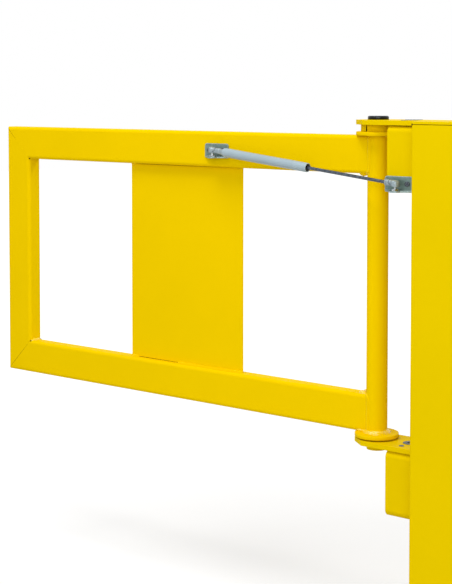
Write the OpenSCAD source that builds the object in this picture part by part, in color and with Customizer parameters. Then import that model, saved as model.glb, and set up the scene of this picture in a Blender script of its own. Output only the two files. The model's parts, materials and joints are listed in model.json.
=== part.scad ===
// Self-closing safety gate: a welded leaf hung on a box post and pushed shut by a gas spring.
// X runs along the closed leaf, Y from front to back, Z up; the origin is under the middle of the post.

/* [Leaf] */
// Length of the leaf from the hinge axis to its free end
leaf_length = 1120; // [800:5:1500]
// Height of the leaf
leaf_height = 622; // [420:2:900]
// Height of the leaf's underside above the ground
leaf_clearance = 445; // [250:5:700]
// Width of the rails and of the stile, seen from the front
rail_face = 80; // [70:1:100]
// Depth of the rails and of the stile, from front to back
rail_depth = 40; // [30:1:42]
// Wall of the rails and of the stile
rail_wall = 4; // [2:0.5:5]
// Outer corner radius of the rails and of the stile
rail_corner = 8; // [6:0.5:10]
// Width of the centre plate
plate_width = 340; // [150:5:450]
// Thickness of the centre plate
plate_thickness = 4; // [2:0.5:10]

/* [Hinge] */
// Distance from the hinge axis to the face of the post
hinge_offset = 144; // [135:1:200]
// Outer diameter of the hinge tube
tube_d = 44.5; // [42.4:0.1:48.3]
// Wall of the hinge tube
tube_wall = 3.2; // [2:0.1:4]
// Diameter of the flanges on the ends of the hinge tube
flange_d = 92; // [72:1:96]
// Thickness of the flanges
flange_t = 8; // [5:1:12]
// Diameter of the hinge pins
pin_d = 25; // [16:1:30]
// Depth to which a hinge pin reaches into the tube
pin_reach = 45; // [30:1:80]
// Length of the bushes in the tube
bush_length = 40; // [20:1:60]
// Thickness of the thrust washer under the leaf
washer_t = 3; // [2:0.5:6]
// Outer diameter of the thrust washer
washer_d = 50; // [36:1:70]
// Width of the hinge plates, from front to back
hinge_plate_w = 100; // [90:1:110]
// Thickness of the hinge plates
hinge_plate_t = 10; // [6:1:16]
// Distance from the hinge axis to the blunt end of the hinge plates
hinge_plate_nose = 41; // [36:1:60]
// Length of the cut corners along the hinge plates
nose_cut_x = 35; // [10:1:36]
// Depth of the cut corners of the hinge plates, from front to back
nose_cut_y = 28; // [10:1:34]
// Diameter of the plastic cap over the upper pin
cap_d = 44; // [36:1:60]
// Height of the plastic cap over the upper pin
cap_h = 8; // [4:1:16]
// Bevel round the top of the plastic cap
cap_bevel = 2; // [0.5:0.5:3]
// Diameter of the head of the lower pin
pin_head_d = 42; // [34:1:60]
// Height of the head of the lower pin
pin_head_h = 14; // [6:1:20]

/* [Stop] */
// Outer diameter of the two stop segments
stop_d = 72; // [56:1:80]
// Inner diameter of the two stop segments
stop_bore = 40; // [36:1:44]
// Height of the two stop segments
stop_h = 14.5; // [8:0.5:24]
// Where the fixed segment starts, in degrees round the axis
stop_fixed_start = 150; // [146:1:200]
// Where the fixed segment ends, in degrees round the axis
stop_fixed_end = 259; // [240:1:264]
// Angle left between the two segments when the gate is shut
stop_slit = 5; // [2:0.5:8]
// Angle covered by the moving segment
stop_moving_span = 140; // [60:1:142]

/* [Arms] */
// Depth of the two arms, from front to back
arm_depth = 100; // [80:1:110]
// Height of the two arms
arm_height = 136; // [120:1:150]
// Wall of the two arms
arm_wall = 5; // [3:0.5:8]
// Outer corner radius of the two arms
arm_corner = 14; // [6:0.5:16]
// Distance from the hinge axis to the ends of the arms
arm_gap = 55; // [52:1:70]
// Thickness of the plates that close the arms
arm_end_t = 4; // [3:0.5:8]

/* [Post] */
// Width and depth of the post
post_size = 200; // [150:5:250]
// Wall of the post
post_wall = 6; // [4:0.5:10]
// Outer corner radius of the post
post_corner = 4; // [1:0.5:12]
// Thickness of the post's cap plate
post_cap_t = 6; // [3:0.5:9]
// Width and depth of the base plate
base_size = 300; // [270:5:400]
// Thickness of the base plate
base_t = 15; // [10:1:25]
// Corner radius of the base plate
base_corner = 8; // [1:1:16]
// Diameter of the anchor holes in the base plate
anchor_d = 18; // [12:1:22]
// Distance from the edges of the base plate to the middle of the anchor holes
anchor_inset = 25; // [18:1:28]

/* [Closer] */
// Length of the two brackets
bracket_w = 68; // [58:1:70]
// Height of the two brackets
bracket_h = 32; // [28:1:40]
// Thickness of the two brackets
bracket_t = 3; // [2:0.5:4]
// Corner radius of the brackets' upper corners
bracket_corner = 5; // [2:0.5:8]
// Length by which the arm's bracket stands out past the end of the arm
bracket_lead = 3; // [0:0.5:6]
// Height of the arm's bracket above the underside of the arm
bracket_lift = 2; // [0:0.5:8]
// Distance from a bracket's back to its ball stud
stud_offset = 17; // [16:0.5:20]
// Radius of the rounded tip of the brackets' shelves
shelf_tip = 12; // [9:0.5:12]
// Height of the ball centres above the brackets' shelves
ball_rise = 14.5; // [14:0.5:18]
// Distance from the hinge axis to the leaf's ball stud
leaf_stud_x = 419.5; // [380:0.5:480]
// Distance from the top of the leaf to the underside of its bracket
leaf_bracket_drop = 58.5; // [50:0.5:70]
// Diameter of the spring's cylinder
cylinder_d = 20; // [16:0.5:21]
// Wall of the spring's cylinder
cylinder_wall = 1.5; // [1:0.25:2.5]
// Length of the spring's cylinder
cylinder_length = 245; // [200:1:260]
// Distance from the leaf's ball to the back of the cylinder
cylinder_start = 35; // [34:1:48]
// Diameter of the spring's rod
rod_d = 7; // [6:0.5:10]
// Length of rod that stays inside the cylinder when the gate is shut
rod_hold = 20; // [15:1:40]
// Length of the gland that closes the cylinder's mouth
gland_length = 8; // [4:1:15]
// Diameter of the ball sockets' shanks
socket_d = 14; // [12:0.5:15]
// Length of the ball sockets from the ball to the end of the shank
socket_length = 25; // [18:1:28]
// Diameter of the ball sockets' heads
head_d = 18; // [16:0.5:19]
// Height of the heads above the middle of the ball
head_rise = 9.5; // [8:0.5:11]
// Depth of the heads below the middle of the ball
head_depth = 5.5; // [4.5:0.5:6]
// Bevel round the top of the heads
head_bevel = 2; // [0.5:0.5:3]
// Diameter of the balls
ball_d = 10; // [8:0.5:10]
// Diameter of the necks under the balls
neck_d = 6; // [4:0.5:7]
// Width of the studs' hexagonal feet across flats
hex_af = 13; // [10:0.5:14]
// Height of the studs' hexagonal feet
hex_h = 4; // [3:0.5:5]

/* [Fits] */
// Running clearance round pins, rods and balls
running_gap = 0.05; // [0.02:0.01:0.1]
// Gap at welded joints and between seated pieces
seat_gap = 0.3; // [0.2:0.05:0.4]
// Gap between the leaf's stud and the socket above it
opened_gap = 0.8; // [0.6:0.1:1.5]

/* [Hidden] */

$fn = 64;

// Paint and plating
gate_yellow = [0.93, 0.79, 0.02];
shade_yellow = [0.86, 0.70, 0.03];
zinc = [0.60, 0.65, 0.66];
spring_grey = [0.66, 0.72, 0.76];
dark_steel = [0.28, 0.30, 0.33];
black_plastic = [0.07, 0.07, 0.07];
brass = [0.72, 0.58, 0.28];

// Levels
leaf_top = leaf_clearance + leaf_height;
upper_plate_z = leaf_top + flange_t + stop_h;
lower_plate_z = leaf_clearance - flange_t - washer_t - hinge_plate_t;
upper_arm_z = upper_plate_z - arm_height;
lower_arm_z = lower_plate_z - arm_height;
post_top = upper_plate_z + hinge_plate_t - post_cap_t;

// Places along the gate
post_face = -post_size / 2;
hinge_x = post_face - hinge_offset;
arm_end_x = hinge_x + arm_gap;
opening_left = hinge_x - leaf_length + rail_face;
opening_right = hinge_x - tube_d / 2;
plate_mid = (opening_left + opening_right) / 2;

// Hinge
pin_bore = pin_d + 2 * running_gap;
tube_bore = tube_d - 2 * tube_wall;

// Brackets and balls: the arm's bracket starts near the end of the arm, just above its underside
arm_bracket_x = arm_end_x - bracket_lead + bracket_w / 2;
arm_bracket_z = upper_arm_z + bracket_lift;
leaf_bracket_x = hinge_x - leaf_stud_x;
leaf_bracket_z = leaf_top - leaf_bracket_drop;
arm_ball = [arm_bracket_x, -arm_depth / 2 - stud_offset, arm_bracket_z + bracket_t + ball_rise];
leaf_ball = [leaf_bracket_x, -rail_depth / 2 - stud_offset, leaf_bracket_z + bracket_t + ball_rise];

// Line of the gas spring, from the leaf's ball to the arm's ball
spring_run = arm_ball - leaf_ball;
spring_length = norm(spring_run);
spring_pitch = asin(-spring_run.z / spring_length);
spring_yaw = atan2(spring_run.y, spring_run.x);
cylinder_mouth = cylinder_start + cylinder_length;
collar_d = socket_d - 1;
shank_root = head_d / 3;
rod_start = cylinder_mouth - rod_hold;
rod_end = spring_length - socket_length;
clip_width = 2;
clip_wall = 1;
clip_place = head_d / 2 + 1;

// Axis on which the spring swings about the arm's ball, square to the spring when the gate is shut and open
open_ball = [hinge_x - leaf_ball.y, leaf_ball.x - hinge_x, leaf_ball.z];
swing = unit(unit(open_ball - arm_ball) - unit(leaf_ball - arm_ball));
pivot_axis = unit([0, 0, 1] - swing.z * swing);

function unit(v) = v / norm(v);

// Flat shapes

module rounded_rect(w, h, r) {
    square([w - 2 * r, h], center = true);
    square([w, h - 2 * r], center = true);
    for (x = [-1, 1], y = [-1, 1]) translate([x * (w / 2 - r), y * (h / 2 - r)]) circle(r = r);
}

// Box tube section, centred, with a bore whose corners follow the outer ones
module box_section(w, h, wall, r) {
    difference() {
        rounded_rect(w, h, r);
        rounded_rect(w - 2 * wall, h - 2 * wall, max(r - wall, 0.5));
    }
}

// Solid bodies placed along the gate

// Extrudes a section (Y across, Z up) from x0 to x1
module along_x(x0, x1) {
    translate([x0, 0, 0]) rotate([90, 0, 90]) linear_extrude(x1 - x0) children();
}

// Places children on the hinge axis at height z
module on_axis(z) {
    translate([hinge_x, 0, z]) children();
}

module ring(outer_d, inner_d, h) {
    difference() {
        cylinder(d = outer_d, h = h);
        translate([0, 0, -1]) cylinder(d = inner_d, h = h + 2);
    }
}

// Ring segment round the axis, from angle a0 over span degrees
module ring_segment(outer_d, inner_d, h, a0, span) {
    rotate([0, 0, a0]) rotate_extrude(angle = span) {
        translate([inner_d / 2, 0]) square([(outer_d - inner_d) / 2, h]);
    }
}

// Post and base

module base_plate() {
    reach = base_size / 2 - anchor_inset;
    color(gate_yellow) difference() {
        linear_extrude(base_t) rounded_rect(base_size, base_size, base_corner);
        for (x = [-reach, reach], y = [-reach, reach]) {
            translate([x, y, -1]) cylinder(d = anchor_d, h = base_t + 2);
        }
    }
}

module post() {
    color(gate_yellow) translate([0, 0, base_t]) linear_extrude(post_top - base_t) {
        box_section(post_size, post_size, post_wall, post_corner);
    }
}

module post_cap() {
    color(gate_yellow) translate([0, 0, post_top]) linear_extrude(post_cap_t) {
        rounded_rect(post_size, post_size, post_corner);
    }
}

// Arms and hinge plates

module arm(z) {
    color(gate_yellow) translate([0, 0, z + arm_height / 2]) along_x(arm_end_x + arm_end_t, post_face) {
        box_section(arm_depth, arm_height, arm_wall, arm_corner);
    }
}

module arm_end(z) {
    color(gate_yellow) translate([0, 0, z + arm_height / 2]) along_x(arm_end_x, arm_end_x + arm_end_t) {
        rounded_rect(arm_depth, arm_height, arm_corner);
    }
}

module hinge_plate(z) {
    nose = hinge_x - hinge_plate_nose;
    side = hinge_plate_w / 2;
    color(gate_yellow) translate([0, 0, z]) linear_extrude(hinge_plate_t) difference() {
        polygon([
            [post_face, -side],
            [post_face, side],
            [nose + nose_cut_x, side],
            [nose, side - nose_cut_y],
            [nose, nose_cut_y - side],
            [nose + nose_cut_x, -side]
        ]);
        translate([hinge_x, 0]) circle(d = pin_bore);
    }
}

module upper_hinge_pin() {
    bottom = leaf_top - pin_reach;
    color(zinc) on_axis(bottom) cylinder(d = pin_d, h = upper_plate_z + hinge_plate_t - bottom);
}

module lower_hinge_pin() {
    color(gate_yellow) on_axis(lower_plate_z - pin_head_h) {
        cylinder(d = pin_head_d, h = pin_head_h);
        cylinder(d = pin_d, h = leaf_clearance + pin_reach - lower_plate_z + pin_head_h);
    }
}

module pin_cap() {
    color(black_plastic) on_axis(upper_plate_z + hinge_plate_t) rotate_extrude() polygon([
        [0, 0],
        [cap_d / 2, 0],
        [cap_d / 2, cap_h - cap_bevel],
        [cap_d / 2 - cap_bevel, cap_h],
        [0, cap_h]
    ]);
}

module thrust_washer() {
    color(brass) on_axis(lower_plate_z + hinge_plate_t) ring(washer_d, pin_bore, washer_t);
}

// The two segments that meet when the gate is shut: one under the plate, one on the leaf's flange

module stop_fixed() {
    color(gate_yellow) on_axis(leaf_top + flange_t + seat_gap) {
        ring_segment(stop_d, stop_bore, stop_h - seat_gap, stop_fixed_start,
                     stop_fixed_end - stop_fixed_start);
    }
}

module stop_moving() {
    color(shade_yellow) on_axis(leaf_top + flange_t) {
        ring_segment(stop_d, stop_bore, stop_h - seat_gap, stop_fixed_end + stop_slit,
                     stop_moving_span);
    }
}

// Leaf

// Space on one side of the mitre that runs down and inwards from the upper free corner
module mitre_side(corner_z, flip) {
    reach = 3 * rail_face;
    translate([hinge_x - leaf_length, 0, corner_z]) scale([1, 1, flip]) rotate([90, 0, 0])
        linear_extrude(2 * rail_depth, center = true) {
            polygon([
                [seat_gap / 2 - rail_face, rail_face],
                [seat_gap / 2 + reach, -reach],
                [reach + leaf_length, -reach],
                [reach + leaf_length, rail_face]
            ]);
        }
}

// Rail from the mitre to the hinge tube, which its end is shaped to
module rail(z, corner_z, flip) {
    color(gate_yellow) difference() {
        intersection() {
            translate([0, 0, z + rail_face / 2]) along_x(hinge_x - leaf_length, hinge_x) {
                box_section(rail_depth, rail_face, rail_wall, rail_corner);
            }
            mitre_side(corner_z, flip);
        }
        on_axis(z - 1) cylinder(d = tube_d + 2 * seat_gap, h = rail_face + 2);
    }
}

module top_rail() {
    rail(leaf_top - rail_face, leaf_top, 1);
}

module bottom_rail() {
    rail(leaf_clearance, leaf_clearance, -1);
}

module latch_stile() {
    color(gate_yellow) difference() {
        translate([hinge_x - leaf_length + rail_face / 2, 0, leaf_clearance]) linear_extrude(leaf_height) {
            box_section(rail_face, rail_depth, rail_wall, rail_corner);
        }
        translate([-seat_gap, 0, 0]) mitre_side(leaf_top, 1);
        translate([-seat_gap, 0, 0]) mitre_side(leaf_clearance, -1);
    }
}

module centre_plate() {
    h = leaf_height - 2 * rail_face - 2 * seat_gap;
    color(gate_yellow) {
        translate([plate_mid, 0, leaf_clearance + rail_face + seat_gap + h / 2]) {
            cube([plate_width, plate_thickness, h], center = true);
        }
    }
}

module hinge_tube() {
    color(gate_yellow) on_axis(leaf_clearance) ring(tube_d, tube_bore, leaf_height);
}

module upper_flange() {
    color(gate_yellow) on_axis(leaf_top) ring(flange_d, tube_bore, flange_t);
}

module lower_flange() {
    color(gate_yellow) on_axis(leaf_clearance - flange_t) ring(flange_d, tube_bore, flange_t);
}

module bush(z) {
    color(brass) on_axis(z) ring(tube_bore - 2 * running_gap, pin_bore, bush_length);
}

module upper_bush() {
    bush(leaf_top + flange_t - bush_length);
}

module lower_bush() {
    bush(leaf_clearance - flange_t);
}

// Closer: brackets and studs

// Angle bracket with its back on y = 0, its underside on z = 0 and its shelf towards -Y
module bracket() {
    color(zinc) {
        rotate([90, 0, 0]) linear_extrude(bracket_t) {
            translate([-bracket_w / 2, 0]) square([bracket_w, bracket_h - bracket_corner]);
            translate([bracket_corner - bracket_w / 2, 0]) {
                square([bracket_w - 2 * bracket_corner, bracket_h]);
            }
            for (side = [-1, 1]) {
                translate([side * (bracket_w / 2 - bracket_corner), bracket_h - bracket_corner])
                    circle(r = bracket_corner);
            }
        }
        linear_extrude(bracket_t) {
            polygon([
                [-bracket_w / 2, 0],
                [bracket_w / 2, 0],
                [shelf_tip, -stud_offset],
                [-shelf_tip, -stud_offset]
            ]);
            translate([0, -stud_offset]) circle(r = shelf_tip);
        }
    }
}

// Foot and neck of a ball stud that stands on a bracket's shelf, with its ball or without it
module ball_stud(neck_top, with_ball) {
    color(zinc) {
        cylinder(d = hex_af / cos(30), h = hex_h, $fn = 6);
        cylinder(d = neck_d, h = neck_top);
        if (with_ball) translate([0, 0, ball_rise]) sphere(d = ball_d);
    }
}

module arm_bracket() {
    translate([arm_bracket_x, -arm_depth / 2, arm_bracket_z]) bracket();
}

module leaf_bracket() {
    translate([leaf_bracket_x, -rail_depth / 2, leaf_bracket_z]) bracket();
}

module arm_ball_stud() {
    translate([arm_ball.x, arm_ball.y, arm_ball.z - ball_rise]) ball_stud(ball_rise, true);
}

// The leaf's stud stops just under its socket, because the linkage is opened at this pivot
module leaf_ball_stud() {
    translate([leaf_ball.x, leaf_ball.y, leaf_ball.z - ball_rise]) {
        ball_stud(ball_rise - head_depth - opened_gap, false);
    }
}

// Closer: gas spring

// Places children on the spring's line, with its ball on the leaf at x = 0 and X along the spring
module on_spring() {
    translate(leaf_ball) rotate([0, spring_pitch, spring_yaw]) children();
}

// Round bar along the spring from a to b
module bar(a, b, d) {
    translate([a, 0, 0]) rotate([0, 90, 0]) cylinder(d = d, h = b - a);
}

module spring_cylinder() {
    color(spring_grey) on_spring() difference() {
        bar(cylinder_start, cylinder_mouth, cylinder_d);
        bar(cylinder_start + 2 * cylinder_wall, cylinder_mouth + 1, cylinder_d - 2 * cylinder_wall);
    }
}

module cylinder_gland() {
    color(black_plastic) on_spring() difference() {
        bar(cylinder_mouth - gland_length, cylinder_mouth, cylinder_d - 2 * cylinder_wall - 2 * running_gap);
        bar(cylinder_mouth - gland_length - 1, cylinder_mouth + 1, rod_d + 2 * running_gap);
    }
}

// Places children at a ball, with Z along the axis on which the spring swings
module on_pivot(ball) {
    translate(ball) rotate(a = acos(pivot_axis.z), v = [-pivot_axis.y, pivot_axis.x, 0]) children();
}

// Bevelled head that sits over the ball
module socket_head() {
    rotate_extrude() polygon([
        [0, -head_depth],
        [head_d / 2, -head_depth],
        [head_d / 2, head_rise - head_bevel],
        [head_d / 2 - head_bevel, head_rise],
        [0, head_rise]
    ]);
}

module cylinder_socket() {
    color(zinc) {
        on_pivot(leaf_ball) socket_head();
        on_spring() {
            bar(shank_root, socket_length, socket_d);
            bar(socket_length, cylinder_start, collar_d);
        }
    }
}

module spring_rod() {
    color(dark_steel) on_spring() bar(rod_start, rod_end, rod_d);
}

// The head is open underneath, where the ball's neck comes out
module rod_socket() {
    mouth_d = ball_d - 1;
    color(zinc) difference() {
        union() {
            on_pivot(arm_ball) socket_head();
            on_spring() bar(rod_end, spring_length - shank_root, socket_d);
        }
        on_pivot(arm_ball) {
            sphere(d = ball_d + 2 * running_gap);
            translate([0, 0, -head_depth - 1]) cylinder(d = mouth_d, h = head_depth + 1);
        }
    }
}

module clip(place) {
    color(dark_steel) on_spring() translate([place, 0, 0]) rotate([0, 90, 0]) {
        ring(socket_d + 2 * running_gap + 2 * clip_wall, socket_d + 2 * running_gap, clip_width);
    }
}

module cylinder_socket_clip() {
    clip(clip_place);
}

module rod_socket_clip() {
    clip(spring_length - clip_place - clip_width);
}

base_plate();
post();
post_cap();
arm(upper_arm_z);  // upper_arm
arm_end(upper_arm_z);  // upper_arm_end
arm(lower_arm_z);  // lower_arm
arm_end(lower_arm_z);  // lower_arm_end
hinge_plate(upper_plate_z);  // upper_hinge_plate
hinge_plate(lower_plate_z);  // lower_hinge_plate
upper_hinge_pin();
lower_hinge_pin();
pin_cap();
thrust_washer();
stop_fixed();
arm_bracket();
arm_ball_stud();
top_rail();
bottom_rail();
latch_stile();
centre_plate();
hinge_tube();
upper_flange();
lower_flange();
upper_bush();
lower_bush();
stop_moving();
leaf_bracket();
leaf_ball_stud();
spring_cylinder();
cylinder_gland();
cylinder_socket();
cylinder_socket_clip();
spring_rod();
rod_socket();
rod_socket_clip();
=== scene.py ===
import json
import math

import bpy
import numpy as np
from mathutils import Matrix, Vector


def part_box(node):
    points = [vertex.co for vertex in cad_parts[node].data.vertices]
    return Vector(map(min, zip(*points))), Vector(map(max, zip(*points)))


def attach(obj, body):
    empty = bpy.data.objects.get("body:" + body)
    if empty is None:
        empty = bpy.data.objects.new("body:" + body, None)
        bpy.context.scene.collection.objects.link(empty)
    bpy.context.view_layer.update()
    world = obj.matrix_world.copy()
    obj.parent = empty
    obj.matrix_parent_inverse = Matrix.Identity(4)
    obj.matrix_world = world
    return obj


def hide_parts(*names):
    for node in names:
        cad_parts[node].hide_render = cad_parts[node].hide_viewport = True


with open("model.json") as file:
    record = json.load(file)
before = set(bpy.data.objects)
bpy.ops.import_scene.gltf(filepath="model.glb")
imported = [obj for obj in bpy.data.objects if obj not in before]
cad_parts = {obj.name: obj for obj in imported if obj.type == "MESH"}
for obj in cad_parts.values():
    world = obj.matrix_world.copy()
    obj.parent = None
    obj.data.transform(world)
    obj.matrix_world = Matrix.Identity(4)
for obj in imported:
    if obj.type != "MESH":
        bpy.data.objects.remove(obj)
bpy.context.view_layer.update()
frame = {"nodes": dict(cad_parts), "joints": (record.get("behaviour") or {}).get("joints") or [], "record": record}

nodes = frame["nodes"]
mm = 0.001
fullTurn, quarter = 2 * math.pi, math.pi / 2
print("gate: frame loaded")


# Quads between neighbouring loops: rings[i, j] is point j round loop i. A middle point closes each end,
# or the last loop joins the first.
def skin(rings, joined=False):
    rows, around = rings.shape[:2]
    steps = rows if joined else rows - 1
    i, j = np.meshgrid(np.arange(steps), np.arange(around), indexing="ij")
    up, on = (i + 1) % rows, (j + 1) % around
    faces = np.stack([i * around + j, i * around + on, up * around + on, up * around + j], -1)
    faces = faces.reshape(-1, 4).tolist()
    points = rings.reshape(-1, 3)
    if not joined:
        loop, last = np.arange(around), (rows - 1) * around
        ends = np.array([rings[0].mean(0), rings[-1].mean(0)])
        points = np.vstack([points, ends])
        low, high = np.full(around, len(points) - 2), np.full(around, len(points) - 1)
        faces += np.stack([np.roll(loop, -1), loop, low], -1).tolist()
        faces += np.stack([last + loop, last + np.roll(loop, -1), high], -1).tolist()
    return points, faces


# Six times the volume, summed over fans of triangles; below nought where the faces look inwards
def signedVolume(points, faces):
    quads = np.array([f if len(f) == 4 else [*f, f[2]] for f in faces])
    a, b, c, d = (points[quads[:, k]] for k in range(4))
    return float((np.cross(a, b) * c).sum() + (np.cross(a, c) * d).sum())


# One object of several closed skins, riding on a body
def addPiece(name, skins, body, material, smoothAngle=40):
    allPoints, allFaces, start = [], [], 0
    for points, faces in skins:
        if signedVolume(points - points.mean(0), faces) < 0:
            faces = [f[::-1] for f in faces]
        allPoints.append(points)
        allFaces += [[v + start for v in f] for f in faces]
        start += len(points)
    mesh = bpy.data.meshes.new(name)
    mesh.from_pydata(np.vstack(allPoints).tolist(), [], allFaces)
    mesh.materials.append(material)
    mesh.shade_smooth()
    mesh.set_sharp_from_angle(angle=math.radians(smoothAngle))
    mesh.update()
    piece = bpy.data.objects.new(name, mesh)
    bpy.context.scene.collection.objects.link(piece)
    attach(piece, body)
    return piece


# A shape turned on a lathe: each level is (height, radius) or (height, radius, flats), and where flats is
# given the radius is cut off at a hexagon that wide across its flats
def turned(levels, around=48):
    height, radius, flats = np.array([(*level, 0)[:3] for level in levels], float).T[:, :, None]
    angle = np.linspace(0, fullTurn, around, endpoint=False)[None, :]
    hexagon = 0.5 / np.cos((angle + math.pi / 6) % (math.pi / 3) - math.pi / 6)
    reach = np.where(flats > 0, np.minimum(radius, flats * hexagon), radius)
    return np.stack([reach * np.cos(angle), reach * np.sin(angle), height + 0 * reach], -1)


# Local Z turned to the axis, and the origin moved to the foot
def stood(points, foot, axis=(0, 0, 1), turn=0.0):
    turning = Vector(axis).to_track_quat("Z", "Y").to_matrix() @ Matrix.Rotation(turn, 3, "Z")
    return points @ np.array(turning).T + np.array(foot, float)


# Points from three coordinates, any of which may be one number
def track(x, y, z):
    return np.stack(np.broadcast_arrays(x, y, z), -1).astype(float)


# Vectors in rows, each over its own length
def unit(vectors):
    return vectors / np.linalg.norm(vectors, axis=1, keepdims=True)


# Directions along a path of points, by central differences
def alongPath(path, joined=False):
    if joined:
        return unit(np.roll(path, -1, 0) - np.roll(path, 1, 0))
    return unit(np.gradient(path, axis=0))


# How far along the path each of its points lies: the steps between them, added up
def lengthsTo(path):
    return np.r_[0, np.cumsum(np.linalg.norm(np.diff(path, axis=0), axis=1))]


# Rows of three values that are known at some lengths, read off in straight lines at other places
def readAt(places, lengths, rows):
    return np.stack([np.interp(places, lengths, rows[:, k]) for k in range(3)], -1)


# A path of evenly spaced points through the given ones
def evenly(path, spacing, joined=False):
    if joined:
        path = np.vstack([path, path[:1]])
    lengths = lengthsTo(path)
    count = max(4, int(round(lengths[-1] / spacing)) + 1)
    points = readAt(np.linspace(0, lengths[-1], count), lengths, path)
    return points[:-1] if joined else points


# What the beads share: ripples lag at the sides by a share of a step, their mean is taken out, and slow
# waves swell the run. The ends taper over a share of the width, down to the root of the tip's value.
torch = {"ripple": 0.10, "lag": 0.5, "mean": 0.6, "wander": 0.06, "swell": 9 * mm, "waves": (0.5, 1.1, 1.9),
         "taper": 0.9, "tip": 0.02}


# A welder's bead: a flattened round carried along the path. Its size rises and falls once for each step of
# the torch, like the size of a sine, and its ends taper like a half ellipse.
def bead(path, aim, weld, size=1.0, joined=False, seed=1, around=12):
    along = alongPath(path, joined)
    aim = np.array(aim, float)
    aim = unit(aim - (aim * along).sum(1, keepdims=True) * along)
    side = np.cross(along, aim)
    travelled = lengthsTo(path)[:, None]
    phi = np.linspace(0, fullTurn, around, endpoint=False)[None, :]
    phase = travelled / weld["step"] + torch["lag"] * np.sin(phi) ** 2
    scallop = np.abs(np.sin(math.pi * phase)) - torch["mean"]
    draw = np.random.default_rng(seed)
    slow = 0
    for wave in torch["waves"]:
        slow = slow + draw.normal(0, 0.5) * np.sin(travelled / torch["swell"] * wave + draw.uniform(0, 6.3))
    swell = 1 + weld.get("ripple", torch["ripple"]) * scallop + torch["wander"] * slow
    width, height = size * weld["width"], size * weld["height"]
    if not joined:
        inner = np.clip(np.minimum(travelled, travelled[-1] - travelled) / (torch["taper"] * width), 0, 1)
        swell = swell * np.sqrt(np.clip(1 - (1 - inner) ** 2, torch["tip"], 1))
    out = height * swell * np.cos(phi)
    across = 0.5 * width * swell * np.sin(phi)
    return skin(path[:, None] + aim[:, None] * out[..., None] + side[:, None] * across[..., None], joined)


# A round wire carried along the path
def wire(path, thickness, around=10):
    along = alongPath(path)
    up = np.array([0.0, 0.0, 1.0]) if abs(along[:, 2]).max() < 0.9 else np.array([0.3, 0.9, 0.3])
    side = unit(np.cross(along, up))
    aim = np.cross(side, along)
    phi = np.linspace(0, fullTurn, around, endpoint=False)[None, :, None]
    return skin(path[:, None] + 0.5 * thickness * (np.cos(phi) * side[:, None] + np.sin(phi) * aim[:, None]))


# A material whose shader socket values are given, with the node tree ready for patterns
def newMaterial(name, **sockets):
    material = bpy.data.materials.new(name)
    material.use_nodes = True
    shader = material.node_tree.nodes["Principled BSDF"]
    for socket, value in sockets.items():
        shader.inputs[socket.replace("_", " ")].default_value = value
    return material, material.node_tree, shader


# A node with its sockets set by name, and its other settings as attributes
def addNode(tree, kind, **values):
    made = tree.nodes.new(kind)
    for key, value in values.items():
        if key in made.inputs:
            made.inputs[key].default_value = value
        else:
            setattr(made, key, value)
    return made


# Noise read from the object's own coordinates
def noise(tree, size, detail=3, rough=0.5):
    place = addNode(tree, "ShaderNodeTexCoord")
    texture = addNode(tree, "ShaderNodeTexNoise", Scale=1 / size, Detail=detail, Roughness=rough)
    tree.links.new(place.outputs["Object"], texture.inputs["Vector"])
    return texture.outputs["Fac"]


# Maps a value from one range to another in a straight line, and holds it at both ends
def ranged(tree, value, low, high, toLow, toHigh):
    node = addNode(tree, "ShaderNodeMapRange")
    for socket, number in zip(("From Min", "From Max", "To Min", "To Max"), (low, high, toLow, toHigh)):
        node.inputs[socket].default_value = number
    tree.links.new(value, node.inputs["Value"])
    return node.outputs["Result"]


slowMiddle = (0.35, 0.65)    # the middle part of slow patches, whose noise strays less


# Noise whose middle part is spread over the whole of a range
def clouds(tree, size, detail, toLow=0, toHigh=1, rough=0.5, middle=(0.3, 0.7)):
    return ranged(tree, noise(tree, size, detail, rough), *middle, toLow, toHigh)


# The first colour, mixed with a share of the second
def mixed(tree, share, first, second):
    node = addNode(tree, "ShaderNodeMix", data_type="RGBA")
    tree.links.new(share, node.inputs["Factor"])
    for socket, colour in (("A", first), ("B", second)):
        target = [s for s in node.inputs if s.name == socket and s.type == "RGBA"][0]
        if isinstance(colour, bpy.types.NodeSocket):
            tree.links.new(colour, target)
        else:
            target.default_value = (*colour, 1)
    return [s for s in node.outputs if s.type == "RGBA"][0]


# Height patterns added up into one bump: each is noise of a size and a detail, with a strength and a depth
def bumped(tree, shader, *layers):
    normal = None
    for size, detail, strength, depth in layers:
        bump = addNode(tree, "ShaderNodeBump", Strength=strength, Distance=depth)
        tree.links.new(noise(tree, size, detail), bump.inputs["Height"])
        if normal:
            tree.links.new(normal, bump.inputs["Normal"])
        normal = bump.outputs["Normal"]
    tree.links.new(normal, shader.inputs["Normal"])


# The linear value of a colour written 0 to 255
def shade(red, green, blue):
    part = np.array([red, green, blue]) / 255
    return tuple(float(v) for v in np.where(part <= 0.04045, part / 12.92, ((part + 0.055) / 1.055) ** 2.4))


edgeTurn = (0.80, 0.99)    # cosines between both normals, well on an edge and just beside it


# 1 along the edges and 0 on the flats: the normal of a rounded copy of the surface turns away from its own
# It masks the paler edges, which stand for painted highlights.
def edgeHighlightShare(tree, radius):
    rounded = addNode(tree, "ShaderNodeBevel", Radius=radius, samples=4)
    plain = addNode(tree, "ShaderNodeNewGeometry")
    product = addNode(tree, "ShaderNodeVectorMath", operation="DOT_PRODUCT")
    tree.links.new(rounded.outputs["Normal"], product.inputs[0])
    tree.links.new(plain.outputs["Normal"], product.inputs[1])
    return ranged(tree, product.outputs["Value"], *edgeTurn, 1, 0)


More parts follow.
